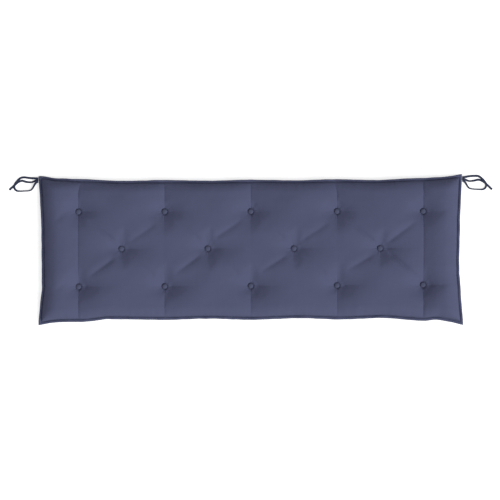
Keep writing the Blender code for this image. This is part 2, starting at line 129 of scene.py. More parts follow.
# The slanting creases: the middle button, the sides in x and y that the crease runs to, its depth, and how
# far over its middle button it would start and over its outer one end.
DIAGONAL_CREASES = (
    (1, -1, 1, 0.0055, 0.012, -0.007),
    (2, -1, 1, 0.0035, 0.012, -0.007),
    (3, -1, 1, 0.0015, 0.012, -0.007),
    (4, -1, 1, 0.0060, 0.008, -0.007),
    (1, 1, 1, 0.0042, 0.006, -0.026),
    (2, 1, 1, 0.0052, 0.020, -0.010),
    (3, 1, 1, 0.0048, 0.011, -0.022),
    (4, 1, 1, 0.0068, 0.002, -0.016),
    (1, -1, -1, 0.0058, -0.016, 0.009),
    (2, -1, -1, 0.0055, -0.004, 0.017),
    (3, -1, -1, 0.0050, -0.009, 0.029),
    (4, -1, -1, 0.0050, -0.008, 0.034),
    (1, 1, -1, 0.0020, 0.000, 0.012),
    (2, 1, -1, 0.0020, 0.000, 0.012),
    (3, 1, -1, 0.0020, 0.000, 0.012),
    (4, 1, -1, 0.0085, 0.010, 0.012),
)
RISING_WIDTH, FALLING_WIDTH, DIAGONAL_POWER = 0.012, 0.007, 1.3  # those that rise to the right are wider
DIAGONAL_FROM, DIAGONAL_TO = (0.08, 0.28), (0.50, 0.88)  # shares of its way, where it starts and ends

# A button's dimple, the valley along its row, its upright fold, and the level folds at its left and at its
# right: how far they reach, and how wide they are under and over their line. All folds start a little
# outside the seat.
DIMPLE_DEPTH, DIMPLE_REACH, DIMPLE_POWER, DIMPLE_STRETCH = 0.013, 0.024, 0.90, 1.3
VALLEY_REACH, VALLEY_WIDTH, VALLEY_ROUND = 0.150, 0.040, 0.008
UPRIGHT_REACH, UPRIGHT_WIDTH = 0.062, 0.018
LEVEL_FOLDS = ((0.065, 0.006, 0.010), (0.150, 0.013, 0.028))
FOLD_START, LEVEL_FOLD_TURN = 0.018, 0.030
BLEND_POWER = 3

# --- the ties' routes, as in the solids: x, y, z and the roll in degrees --------------------------
TAPE_WIDTH, TAPE_THICKNESS = 0.0080, 0.0014
TIE_ROUTES = {
    "tie_left_loop": (
        (-0.7609, 0.2552, 0.0124, 0),
        (-0.7700, 0.2555, 0.0108, 0),
        (-0.7920, 0.2567, 0.0050, 16),
        (-0.8140, 0.2594, 0.0024, 10),
        (-0.8275, 0.2560, 0.0030, 5),
        (-0.8382, 0.2463, 0.0034, 2),
        (-0.8462, 0.2352, 0.0034, 0),
        (-0.8490, 0.2266, 0.0032, 4),
        (-0.8480, 0.2198, 0.0029, 12),
        (-0.8444, 0.2143, 0.0030, 24),
        (-0.8391, 0.2109, 0.0032, 38),
        (-0.8328, 0.2098, 0.0035, 50),
        (-0.8240, 0.2098, 0.0036, 59),
        (-0.8100, 0.2104, 0.0036, 62),
        (-0.7970, 0.2112, 0.0036, 62),
        (-0.7885, 0.2143, 0.0043, 58),
        (-0.7823, 0.2206, 0.0064, 52),
        (-0.7775, 0.2285, 0.0096, 44),
        (-0.7727, 0.2360, 0.0128, 28),
        (-0.7671, 0.2413, 0.0151, 12),
        (-0.7610, 0.2439, 0.0163, 0),
    ),
    "tie_left_tail": (
        (-0.7604, 0.2490, 0.0144, 0),
        (-0.7670, 0.2485, 0.0137, 0),
        (-0.7740, 0.2458, 0.0106, 14),
        (-0.7870, 0.2418, 0.0050, 38),
        (-0.8060, 0.2430, 0.0024, 24),
        (-0.8200, 0.2470, 0.0012, 6),
        (-0.8340, 0.2430, 0.0010, 0),
        (-0.8470, 0.2325, 0.0010, 0),
        (-0.8580, 0.2225, 0.0010, 0),
        (-0.8672, 0.2142, 0.0012, 6),
    ),
    "tie_right_loop": (
        (0.7606, 0.2592, 0.0124, 0),
        (0.7700, 0.2603, 0.0106, 0),
        (0.7850, 0.2632, 0.0064, -16),
        (0.8030, 0.2648, 0.0024, -12),
        (0.8205, 0.2638, 0.0028, -6),
        (0.8328, 0.2552, 0.0034, -2),
        (0.8418, 0.2456, 0.0034, 0),
        (0.8468, 0.2378, 0.0034, 0),
        (0.8484, 0.2307, 0.0032, -4),
        (0.8466, 0.2243, 0.0030, -14),
        (0.8421, 0.2192, 0.0031, -28),
        (0.8358, 0.2164, 0.0034, -42),
        (0.8280, 0.2158, 0.0036, -56),
        (0.8185, 0.2162, 0.0036, -61),
        (0.8060, 0.2169, 0.0036, -62),
        (0.7955, 0.2180, 0.0036, -62),
        (0.7873, 0.2209, 0.0043, -58),
        (0.7812, 0.2268, 0.0064, -52),
        (0.7764, 0.2340, 0.0096, -44),
        (0.7717, 0.2408, 0.0128, -28),
        (0.7663, 0.2457, 0.0151, -12),
        (0.7609, 0.2480, 0.0163, 0),
    ),
    "tie_right_tail": (
        (0.7600, 0.2530, 0.0144, 0),
        (0.7667, 0.2526, 0.0137, 0),
        (0.7740, 0.2500, 0.0106, -14),
        (0.7880, 0.2462, 0.0050, -38),
        (0.8060, 0.2480, 0.0024, -24),
        (0.8220, 0.2510, 0.0012, -4),
        (0.8390, 0.2440, 0.0010, 0),
        (0.8525, 0.2325, 0.0010, 0),
        (0.8620, 0.2236, 0.0010, 0),
        (0.8698, 0.2158, 0.0012, -6),
    ),
}

# --- colours, sRGB, and the grain of the materials -----------------------------------------------
CLOTH_HEX = "#515570"
BUTTON_HEX = "#4f536b"
TAPE_HEX = "#343a50"
# The thread is darker than its own colour: along the lip its stitching also stands for the shade in the
# groove, so this is partly thread colour and partly painted shade.
THREAD_AND_SEAM_SHADE_HEX = "#23273a"
FLOOR_HEX = "#e6e6e6"
# The real cloth has about 20 threads to the centimetre. They are drawn 2 to 4 times as wide, or they
# would not show.
CLOTH_THREAD, BUTTON_THREAD, TAPE_THREAD = 0.0020, 0.0012, 0.0010
WEAVE_TONE, YARN_TONE, DYE_TONE = 0.05, 0.020, 0.020  # how much lighter and darker each makes the cloth
YARN_WIDTH, SLUB_LENGTH, DYE_WIDTH = 0.006, 0.090, 0.110  # of the uneven yarns, and of a cloud of dye
YARN_RANGE, DYE_RANGE = (0.6, 1.4), (0.3, 0.7)  # the noise's values that give the darkest and the lightest
THREAD_RELIEF, BUMP_STRENGTH = 0.3, 0.5  # how far a thread stands up, as a share of its width; how clearly
CLOTH_ROUGHNESS, CLOTH_SHINE = 0.85, 0.1
PLY_WIDTH, PLY_TONE = 0.0006, 0.2
THREAD_ROUGHNESS, THREAD_SHINE = 0.55, 0.3


# --- small helpers -------------------------------------------------------------------------------
# An uneven surface: how many waves make it, their lengths as shares of the one asked for, and how high their
# sum usually peaks, in standard deviations.
WAVES, WAVE_LENGTHS, WAVE_PEAK = 28, (0.7, 1.5), 1.4


def linear(hex_colour):
    """An sRGB hex colour as linear RGBA."""
    channels = [int(hex_colour[i : i + 2], 16) / 255 for i in (1, 3, 5)]
    return (*[c / 12.92 if c <= 0.04045 else ((c + 0.055) / 1.055) ** 2.4 for c in channels], 1.0)


def add_node(tree, kind, settings=None, **links):
    """One node with its settings; a link gives an input's name, with _ for a space, and what feeds it."""
    node = tree.nodes.new(kind)
    for name, value in (settings or {}).items():
        setattr(node, name, value)
    for name, value in links.items():
        key = int(name[1:]) if name[0] == "i" and name[1:].isdigit() else name.replace("_", " ")
        socket = node.inputs[key]
        if isinstance(value, bpy.types.NodeSocket):
            tree.links.new(value, socket)
        else:
            socket.default_value = value
    return node


def smooth(share):
    share = np.clip(share, 0.0, 1.0)
    return share * share * (3 - 2 * share)


def uneven(x, y, wavelength, seed):
    """A random but repeatable surface of about +-1, with lumps of about this wavelength."""
    draw = np.random.default_rng(seed)
    total = 0.0
    for _ in range(WAVES):
        heading, phase = draw.uniform(0, math.tau, 2)
        pace = math.tau / (wavelength * draw.uniform(*WAVE_LENGTHS))
        total = total + np.sin((x * math.cos(heading) + y * math.sin(heading)) * pace + phase)
    return total * math.sqrt(2 / WAVES) / WAVE_PEAK


# --- the cover's shape, in the flat pattern's x and y --------------------------------------------
def rise(distance, reach, power):
    """How full the cushion is at this distance inside the seam, from 0 to 1: a superellipse."""
    short = 1 - np.clip(distance / reach, 0.0, 1.0)
    return (1 - short**power) ** (1 / power)


def button_places():
    """(name, x, y, depths of its valley and its folds) of each button in the flat pattern."""
    places = []
    for row, (name, count, _, _, *depths) in enumerate(BUTTON_ROWS):
        for i in range(count):
            x = (i - (count - 1) / 2) * COLUMN_PITCH
            places.append((f"button_{name}_{i + 1}", x, (1 - row) * ROW_PITCH, depths))
    return places


def column_crease(x, y):
    """Depth of the pillows' long slopes down to the creases, and of the creases' sharp bottoms."""
    slope, line = np.zeros_like(x), np.zeros_like(x)
    share = smooth((np.abs(y) - ROW_PITCH * BETWEEN_ROWS) / (ROW_PITCH * BETWEEN_ROWS_REACH))
    near_edge = smooth(1 - (WIDTH / 2 - y) / LEAN_REACH)
    for column, (above, between, below, left, right, lean) in enumerate(COLUMN_CREASES):
        depth = between + (np.where(y > 0, above, below) - between) * share
        off = x - (column - 2) * COLUMN_PITCH - lean * near_edge
        reach = np.where(off < 0, left, right)
        slope += depth * np.clip(1 - np.abs(off) / reach, 0.0, 1.0) ** 2
        sharp = np.clip((depth - CREASE_LINE_FROM) / CREASE_LINE_RANGE, 0.0, 1.0)
        line = np.maximum(line, CREASE_LINE_DEPTH * sharp * np.exp(-np.abs(off) / CREASE_LINE_WIDTH))
    return slope, line


def diagonal_crease(x, y):
    deepest = np.zeros_like(x)
    for button, side_x, side_y, depth, start_up, end_up in DIAGONAL_CREASES:
        along_x, along_y = side_x * COLUMN_PITCH / 2, side_y * ROW_PITCH + end_up - start_up
        off_x, off_y = x - (button - 2.5) * COLUMN_PITCH, y - start_up
        share = (off_x * along_x + off_y * along_y) / (along_x**2 + along_y**2)
        inside = np.clip(share, 0.0, 1.0)
        distance = np.hypot(off_x - inside * along_x, off_y - inside * along_y)
        fade = smooth((inside - DIAGONAL_FROM[0]) / (DIAGONAL_FROM[1] - DIAGONAL_FROM[0]))
        fade *= 1 - smooth((inside - DIAGONAL_TO[0]) / (DIAGONAL_TO[1] - DIAGONAL_TO[0]))
        width = RISING_WIDTH if side_x == side_y else FALLING_WIDTH
        across = np.exp(-((distance / width) ** DIAGONAL_POWER))
        deepest = np.maximum(deepest, depth * fade * across)
    return deepest


def button_pull(x, y):
    """Depth of the dimples with the valleys along the rows, and of the level folds beside the buttons."""
    dimple, fold = np.zeros_like(x), np.zeros_like(x)
    for _, button_x, button_y, (valley_depth, upright_depth, *fold_depths) in button_places():
        off_x, off_y = np.abs(x - button_x), np.abs(y - button_y)
        away = np.hypot(off_x, off_y)
        outside = np.maximum(away - SEAT_RADIUS, 0.0)
        stretch = np.hypot(off_x / DIMPLE_STRETCH, off_y) / np.maximum(away, SEAT_RADIUS)
        dimple += DIMPLE_DEPTH * np.exp(-((outside * stretch / DIMPLE_REACH) ** DIMPLE_POWER))
        along = (np.hypot(off_x, VALLEY_ROUND) - VALLEY_ROUND) / VALLEY_REACH
        dimple += valley_depth * np.maximum(1 - along, 0.0) ** 2 * np.exp(-((off_y / VALLEY_WIDTH) ** 2))
        right = smooth((x - button_x) / LEVEL_FOLD_TURN + 0.5)
        sides = zip(*((depth, *sizes) for depth, sizes in zip(fold_depths, LEVEL_FOLDS)))
        depth, reach, under, over = (at_left + (at_right - at_left) * right for at_left, at_right in sides)
        level = depth * np.maximum(1 - off_x / reach, 0.0) ** 2
        level = level * np.exp(-off_y / np.where(y < button_y, under, over))
        upright = upright_depth * np.maximum(1 - off_y / UPRIGHT_REACH, 0.0) ** 2
        upright = upright * np.exp(-off_x / UPRIGHT_WIDTH)
        fold = np.maximum(fold, smooth(outside / FOLD_START) * np.maximum(level, upright))
    return dimple, fold


def pulled_in(x, y):
    dimple, fold = button_pull(x, y)
    slope, line = column_crease(x, y)
    depths = (line, diagonal_crease(x, y), fold)
    return slope + dimple + sum(depth**BLEND_POWER for depth in depths) ** (1 / BLEND_POWER)


def inside_seam(x, y):
    """Distance inside the stitch line from the short and from the long sides."""
    return LENGTH / 2 - LIP_WIDTH - np.abs(x), WIDTH / 2 - LIP_WIDTH - np.abs(y)


def seam_height(x, y):
    corner = np.hypot(LENGTH / 2 - np.abs(x), WIDTH / 2 - np.abs(y))
    near_corner = np.exp(-((corner / CORNER_DROOP_REACH) ** 2))
    wave = LIP_WAVE * np.sin((x + 2 * y) / LIP_WAVE_LENGTH * math.tau)
    return SEAM_HEIGHT + wave + (CORNER_HEIGHT - SEAM_HEIGHT - wave) * near_corner


def along_side(place, stations):
    """How far a side stands out: a smooth line through its stations."""
    out = stations[0][1]
    for (start, start_out), (end, end_out) in zip(stations, stations[1:]):
        out = out + (end_out - start_out) * smooth((place - start) / (end - start))
    return out


def long_side_out(x, upper):
    out = along_side(x, UPPER_SIDE if upper else LOWER_SIDE)
    for side_x, side_y, _, tip_y, bluntness in CORNERS:
        if (side_y > 0) == upper:
            out = out + tip_y * np.exp(-(((LENGTH / 2 - side_x * x) / EAR_REACH) ** bluntness))
    return out


def short_side_out(y, right):
    out = along_side(y, RIGHT_SIDE if right else LEFT_SIDE)
    for side_x, side_y, tip_x, _, _ in CORNERS:
        if (side_x > 0) == right:
            out = out + tip_x * np.exp(-(((WIDTH / 2 - side_y * y) / EAR_SIDE_REACH) ** 2))
    return out


def row_shift(x, y):
    """How far the point's row of buttons lies off its pattern line: nothing at the long sides."""
    share = (x + LENGTH / 2) / LENGTH
    shifts = [0.0 * x] + [left + (right - left) * share for _, _, left, right, *_ in BUTTON_ROWS] + [0.0 * x]
    lines = (WIDTH / 2, ROW_PITCH, 0.0, -ROW_PITCH, -WIDTH / 2)
    found = 0.0 * x
    for i in range(len(lines) - 1):
        part = np.clip((lines[i] - y) / (lines[i] - lines[i + 1]), 0.0, 1.0)
        here = (y <= lines[i]) & (y >= lines[i + 1])
        found = np.where(here, shifts[i] + (shifts[i + 1] - shifts[i]) * part, found)
    return found


def laid(x, y):
    """Where a point of the flat pattern lies on the finished cushion, seen from above."""
    near_end = smooth(1 - (LENGTH / 2 - np.abs(x)) / OUTLINE_DEPTH)
    near_side = smooth(1 - (WIDTH / 2 - np.abs(y)) / OUTLINE_DEPTH)
    out_x = np.sign(x) * near_end * np.where(x > 0, short_side_out(y, True), short_side_out(y, False))
    out_y = np.sign(y) * near_side * np.where(y > 0, long_side_out(x, True), long_side_out(x, False))
    return x + out_x + PATTERN_SHIFT * (1 - near_end), y + out_y + row_shift(x, y)


def top_height(x, y):
    from_end, from_side = inside_seam(x, y)
    full = rise(from_end, SHOULDER_END_REACH, 2) * rise(from_side, SHOULDER_SIDE_REACH, 2)
    full = np.where((from_end > 0) & (from_side > 0), full, 0.0)
    crown_end = 1 - np.clip(1 - from_end / CROWN_END_REACH, 0.0, 1.0) ** 2
    crown_side = 1 - np.clip(1 - from_side / CROWN_SIDE_REACH, 0.0, 1.0) ** 2
    shoulder_top = SEAM_HEIGHT + LIP_THICKNESS / 2 + SHOULDER_RISE
    crown = (THICKNESS - shoulder_top) * crown_end * crown_side
    lip_top = seam_height(x, y) + LIP_THICKNESS / 2
    return lip_top * (1 - full) + (shoulder_top + crown - pulled_in(x, y)) * full


def underside_height(x, y):
    from_end, from_side = inside_seam(x, y)
    full = rise(from_end, BILGE_REACH, BILGE_POWER) * rise(from_side, BILGE_REACH, BILGE_POWER)
    hollow = np.zeros_like(x)
    for _, button_x, button_y, _ in button_places():
        near = 1 - np.hypot(x - button_x, y - button_y) / UNDER_DIMPLE_RADIUS
        hollow = np.maximum(hollow, UNDER_DIMPLE_DEPTH * np.maximum(near, 0.0) ** 2)
    seam = seam_height(x, y) - LIP_THICKNESS / 2
    return seam * (1 - full) + hollow * full


# --- the finer relief of the cloth ---------------------------------------------------------------
LUMPS = ((0.0006, 0.120, 3), (0.00012, 0.045, 5))  # of the filling: height, wavelength and seed
SEAM_PUCKER, SEAM_PUCKER_REACH, SEAM_PUCKER_LENGTH = 0.0006, 0.014, 0.021
PUCKER_START = 0.004  # puckers and gathers grow over this length from what holds the cloth
GATHER_DEPTH, GATHER_REACH = 0.0005, 0.012  # the small folds that stand round each button
GATHER_FOLDS = (7, 11, 16)
COLLAR_RISE, COLLAR_WIDTH, COLLAR_REACH = 0.0020, 0.0030, 0.022  # of the cloth that swells up round a button
LIP_RUFFLE, LIP_RUFFLE_OUT, LIP_RUFFLE_LENGTH = 0.0012, 0.0003, 0.045
LIP_DROOP = 0.0010  # the edge of the lip hangs this much lower than its stitching
LIP_EDGE_ROUND = 0.0016
GROOVE_DEPTH, GROOVE_WIDTH, UNDER_GROOVE_DEPTH = 0.0036, 0.0030, -0.0012


def from_edge(x, y):
    return np.minimum(LENGTH / 2 - np.abs(x), WIDTH / 2 - np.abs(y))


def puckers(x, y):
    """Small folds, square to the stitching and in a star round each button, and the swelling round it."""
    end, side = (np.maximum(distance, 0.0) for distance in inside_seam(x, y))
    height = np.exp(-side / SEAM_PUCKER_REACH) * uneven(x, 0 * x, SEAM_PUCKER_LENGTH, 11)
    height = height + np.exp(-end / SEAM_PUCKER_REACH) * uneven(0 * y, y, SEAM_PUCKER_LENGTH, 12)
    height = SEAM_PUCKER * height * smooth(end / PUCKER_START) * smooth(side / PUCKER_START)
    draw = np.random.default_rng(21)
    for _, button_x, button_y, _ in button_places():
        away = np.hypot(x - button_x, y - button_y)
        turn = np.arctan2(y - button_y, x - button_x)
        star = sum(np.sin(folds * turn + draw.uniform(0, math.tau)) for folds in GATHER_FOLDS)
        outside = np.maximum(away - SEAT_RADIUS, 0.0)
        gathered = smooth(outside / PUCKER_START) * np.exp(-outside / GATHER_REACH)
        height = height + GATHER_DEPTH * star * gathered
        height = height + COLLAR_RISE * smooth(outside / COLLAR_WIDTH) * np.exp(-outside / COLLAR_REACH)
    return height


def relief(x, y):
    """What the filling's lumps and the puckers add to the top's height."""
    end, side = (np.maximum(distance, 0.0) for distance in inside_seam(x, y))
    inside = smooth(end / SHOULDER_END_REACH) * smooth(side / SHOULDER_SIDE_REACH)
    lumps = sum(height * uneven(x, y, wavelength, seed) for height, wavelength, seed in LUMPS)
    return lumps * inside + puckers(x, y)


def cover_points(x, y, top):
    """The finished surface over the pattern's points, top or underside, as an array of places."""
    place_x, place_y = laid(x, y)
    height = top_height(x, y) if top else underside_height(x, y)
    facing = 1 if top else -1
    edge = from_edge(x, y)
    thin = 1 - np.sqrt(1 - np.clip(1 - edge / LIP_EDGE_ROUND, 0.0, 1.0) ** 2)
    height = height - facing * LIP_THICKNESS / 2 * thin
    stitched = np.exp(-(((edge - LIP_WIDTH) / GROOVE_WIDTH) ** 2))
    height = height - (GROOVE_DEPTH if top else -UNDER_GROOVE_DEPTH) * stitched
    loose = 1 - smooth(edge / LIP_WIDTH)
    height = height + (LIP_RUFFLE * uneven(x, y, LIP_RUFFLE_LENGTH, 31) - LIP_DROOP) * loose
    corner = np.hypot(LENGTH / 2 - np.abs(x), WIDTH / 2 - np.abs(y))
    out = LIP_RUFFLE_OUT * uneven(x, y, LIP_RUFFLE_LENGTH, 32) * smooth(corner / CORNER_DROOP_REACH)
    out = out * (1 - smooth(edge / (2 * LIP_WIDTH)))
    place_y = place_y + np.sign(y) * out * (np.abs(y) > WIDTH / 2 - 2 * LIP_WIDTH)
    place_x = place_x + np.sign(x) * out * (np.abs(x) > LENGTH / 2 - 2 * LIP_WIDTH)
    return np.stack([place_x, place_y, height], -1)


# --- the cover's grid ----------------------------------------------------------------------------
FINEST, WIDEST, GROWTH = 0.0013, 0.0042, 0.12  # grid steps at a fold, far from it, and how they grow
LINE_SAMPLES = 400  # between two marks, to work out where the lines go


def close_lines(marks):
    """Grid lines through the marks, close together near each of them. An even number between two marks."""
    lines = [marks[0]]
    for start, end in zip(marks, marks[1:]):
        at = np.linspace(start, end, LINE_SAMPLES)
        step = np.minimum(WIDEST, FINEST + GROWTH * np.minimum(at - start, end - at))
        count = np.concatenate([[0], np.cumsum(np.diff(at) / ((step[1:] + step[:-1]) / 2))])
        pieces = 2 * math.ceil(count[-1] / 2)
        lines += list(np.interp(np.arange(1, pieces + 1) * count[-1] / pieces, count, at))
    return np.array(lines)


def cover_lines():
    seam_x, seam_y = LENGTH / 2 - LIP_WIDTH, WIDTH / 2 - LIP_WIDTH
    folds = [i * COLUMN_PITCH / 2 for i in range(-4, 5)]
    columns = close_lines([-LENGTH / 2, -seam_x, *folds, seam_x, LENGTH / 2])
    rows = close_lines([-WIDTH / 2, -seam_y, -ROW_PITCH, 0.0, ROW_PITCH, seam_y, WIDTH / 2])
    return columns, rows


# --- making meshes -------------------------------------------------------------------------------
def made_object(name, points, faces, places, material):
    """A smooth mesh. places holds where each corner of each face lies in the flat cloth, in metres."""
    mesh = bpy.data.meshes.new(name)
    mesh.from_pydata([tuple(p) for p in points], [], faces)
    mesh.materials.append(material)
    mesh.uv_layers.new(name="cloth").uv.foreach_set("vector", np.asarray(places, np.float32).ravel())
    mesh.shade_smooth()
    made = bpy.data.objects.new(name, mesh)
    bpy.context.scene.collection.objects.link(made)
    return made


def ringed(name, rings, places, material):
    """A closed mesh of rings of points, one after another, with a cap at both ends.

    places has one more column than a ring has points, because the last face comes round to the first.
    """
    sides, last = len(rings[0]), len(rings) - 1
    faces = [tuple(range(sides))[::-1]]
    at = [places[0][k] for k in range(sides)][::-1]
    for i in range(last):
        for k in range(sides):
            after = (k + 1) % sides
            faces.append((i * sides + k, i * sides + after, (i + 1) * sides + after, (i + 1) * sides + k))
            at += [places[i][k], places[i][k + 1], places[i + 1][k + 1], places[i + 1][k]]
    faces.append(tuple(range(last * sides, (last + 1) * sides)))
    at += [places[last][k] for k in range(sides)]
    return made_object(name, [point for ring in rings for point in ring], faces, at, material)


def joined(piece, extras):
    """The piece with the extras' meshes in its own; each face keeps its material."""
    mesh = bmesh.new()
    materials = []
    for source in (piece, *extras):
        known = len(mesh.faces)
        mesh.from_mesh(source.data)
        mesh.faces.ensure_lookup_table()
        for face in mesh.faces[known:]:
            material = source.data.materials[face.material_index]
            if material not in materials:
                materials.append(material)
            face.material_index = materials.index(material)
    piece.data.materials.clear()
    for material in materials:
        piece.data.materials.append(material)
    mesh.to_mesh(piece.data)
    mesh.free()
    for extra in extras:
        bpy.data.objects.remove(extra)
    return piece


# --- rows of stitches ----------------------------------------------------------------------------
def stitch_tree():
    """Geometry Nodes: one small rounded stitch after another along a curve."""
    tree = bpy.data.node_groups.new("row_of_stitches", "GeometryNodeTree")
    tree.interface.new_socket("Geometry", in_out="INPUT", socket_type="NodeSocketGeometry")
    for name in ("Pitch", "Stitch Length", "Thread Thickness"):
        tree.interface.new_socket(name, in_out="INPUT", socket_type="NodeSocketFloat")
    tree.interface.new_socket("Thread", in_out="INPUT", socket_type="NodeSocketMaterial")
    tree.interface.new_socket("Geometry", in_out="OUTPUT", socket_type="NodeSocketGeometry")
    given = add_node(tree, "NodeGroupInput").outputs
    along = add_node(
        tree, "GeometryNodeCurveToPoints", {"mode": "LENGTH"}, Curve=given["Geometry"], Length=given["Pitch"]
    )
    half = {"operation": "MULTIPLY"}
    thick = add_node(tree, "ShaderNodeMath", half, i0=given["Thread Thickness"], i1=0.5).outputs[0]
    long = add_node(tree, "ShaderNodeMath", half, i0=given["Stitch Length"], i1=0.5).outputs[0]
    scale = add_node(tree, "ShaderNodeCombineXYZ", X=thick, Y=thick, Z=long)
    stitch = add_node(tree, "GeometryNodeMeshUVSphere", Segments=6, Rings=4, Radius=1.0)
    placed = add_node(
        tree,
        "GeometryNodeInstanceOnPoints",
        Points=along.outputs["Points"],
        Instance=stitch.outputs["Mesh"],
        Rotation=along.outputs["Rotation"],
        Scale=scale.outputs[0],
    )
    real = add_node(tree, "GeometryNodeRealizeInstances", Geometry=placed.outputs[0])
    dyed = add_node(tree, "GeometryNodeSetMaterial", Geometry=real.outputs[0], Material=given["Thread"])
    add_node(tree, "NodeGroupOutput", Geometry=dyed.outputs[0])
    return tree


def stitches(name, tree, path, closed, sizes, thread):
    """A row of stitches along the path; sizes are the pitch, a stitch's length and its thickness."""
    curve = bpy.data.curves.new(name + "_path", "CURVE")
    curve.dimensions = "3D"
    spline = curve.splines.new("POLY")
    spline.points.add(len(path) - 1)
    spline.points.foreach_set("co", np.column_stack([path, np.ones(len(path))]).ravel())
    spline.use_cyclic_u = closed
    guide = bpy.data.objects.new(name + "_path", curve)
    bpy.context.scene.collection.objects.link(guide)
    row = guide.modifiers.new("row_of_stitches", "NODES")
    row.node_group = tree
    named = {item.name: item.identifier for item in tree.interface.items_tree if item.in_out == "INPUT"}
    for input_name, value in zip(("Pitch", "Stitch Length", "Thread Thickness", "Thread"), (*sizes, thread)):
        row[named[input_name]] = value
    evaluated = guide.evaluated_get(bpy.context.evaluated_depsgraph_get())
    mesh = bpy.data.meshes.new_from_object(evaluated)
    mesh.name = name
    bpy.data.objects.remove(guide)
    mesh.shade_smooth()
    made = bpy.data.objects.new(name, mesh)
    bpy.context.scene.collection.objects.link(made)
    return made


# --- the cloth, let go between its seams ---------------------------------------------------------
GIVE_STEP = 0.0085  # of the coarse cloth that is simulated
SPARE_CLOTH, GIVE_FRAMES, GIVE_CAP = 0.008, 20, 0.0018
GIVE_PRESSURE, GIVE_STIFFNESS, GIVE_BENDING = 4.0, 12.0, 3.0
GIVE_FROM_SEAM, GIVE_FROM_SEAT = 0.085, 0.012  # how far from what holds the cloth it gives fully


def coarse_lines():
    half_x, half_y = LENGTH / 2 - LIP_WIDTH, WIDTH / 2 - LIP_WIDTH
    return tuple(np.linspace(-half, half, 1 + 2 * round(half / GIVE_STEP)) for half in (half_x, half_y))


def cloth_give():
    """How far each point of a coarse top moves when the filling presses on cloth cut a little too large."""
    columns, rows = coarse_lines()
    x, y = np.meshgrid(columns, rows, indexing="ij")
    start = np.stack([*laid(x, y), top_height(x, y)], -1)
    n, m = x.shape
    index = np.arange(n * m).reshape(n, m)
    cells = np.stack([index[:-1, :-1], index[1:, :-1], index[1:, 1:], index[:-1, 1:]], -1).reshape(-1, 4)
    mesh = bpy.data.meshes.new("loose_top")
    mesh.from_pydata(start.reshape(-1, 3).tolist(), [], cells.tolist())
    loose = bpy.data.objects.new("loose_top", mesh)
    bpy.context.scene.collection.objects.link(loose)
    held = np.minimum(*inside_seam(x, y)) < GIVE_STEP / 2
    for _, button_x, button_y, _ in button_places():
        held |= np.hypot(x - button_x, y - button_y) < SEAT_RADIUS + GIVE_STEP / 2
    loose.vertex_groups.new(name="held").add(index[held].tolist(), 1.0, "REPLACE")
    cloth = loose.modifiers.new("cloth", "CLOTH")
    cloth.settings.vertex_group_mass = "held"
    cloth.settings.use_pressure = True
    cloth.settings.uniform_pressure_force = GIVE_PRESSURE
    cloth.settings.shrink_min = -SPARE_CLOTH
    cloth.settings.tension_stiffness = cloth.settings.compression_stiffness = GIVE_STIFFNESS
    cloth.settings.bending_stiffness = GIVE_BENDING
    cloth.settings.effector_weights.gravity = 0.0
    cloth.collision_settings.use_collision = False
    cloth.point_cache.frame_end = GIVE_FRAMES
    for frame_number in range(1, GIVE_FRAMES + 1):
        bpy.context.scene.frame_set(frame_number)
    settled = loose.evaluated_get(bpy.context.evaluated_depsgraph_get()).data
    place = np.empty(n * m * 3)
    settled.vertices.foreach_get("co", place)
    bpy.context.scene.frame_set(1)
    bpy.data.objects.remove(loose)
    moved = place.reshape(n, m, 3) - start
    far = np.linalg.norm(moved, axis=-1, keepdims=True)
    return moved * np.minimum(1.0, GIVE_CAP / np.maximum(far, 1e-9))


def spread(lines, at):
    """The share that each coarse line has in each of the fine ones: a smooth cubic B-spline."""
    place = np.clip((at - lines[0]) / (lines[1] - lines[0]), 0, len(lines) - 1)
    cell = np.minimum(place.astype(int), len(lines) - 2)
    t = place - cell
    weights = ((1 - t) ** 3, 3 * t**3 - 6 * t**2 + 4, -3 * t**3 + 3 * t**2 + 3 * t + 1, t**3)
    shares = np.zeros((len(at), len(lines)))
    for step, weight in zip((-1, 0, 1, 2), weights):
        np.add.at(shares, (np.arange(len(at)), np.clip(cell + step, 0, len(lines) - 1)), weight / 6)
    return shares


def given_way(columns, rows):
    """The cloth's give at the fine grid's points; nothing at the stitching and under the buttons."""
    coarse_columns, coarse_rows = coarse_lines()
    across, along = spread(coarse_columns, columns), spread(coarse_rows, rows)
    give = np.einsum("ia,abk,jb->ijk", across, cloth_give(), along)
    x, y = np.meshgrid(columns, rows, indexing="ij")
    free = smooth(np.minimum(*inside_seam(x, y)) / GIVE_FROM_SEAM)
    for _, button_x, button_y, _ in button_places():
        free *= smooth((np.hypot(x - button_x, y - button_y) - SEAT_RADIUS) / GIVE_FROM_SEAT)
    return give * free[..., None]


# --- the cover -----------------------------------------------------------------------------------
TOP_STITCH = (0.0040, 0.0031, 0.0010)  # pitch, length of a stitch, thickness of the thread
STITCH_SAMPLES = 300  # points along each side that the stitching follows
# Round a cell of the underside, which is two grid steps wide: its corners and the middles of its sides.
CELL_RING = ((0, 0), (0, 1), (0, 2), (1, 2), (2, 2), (2, 1), (2, 0), (1, 0))


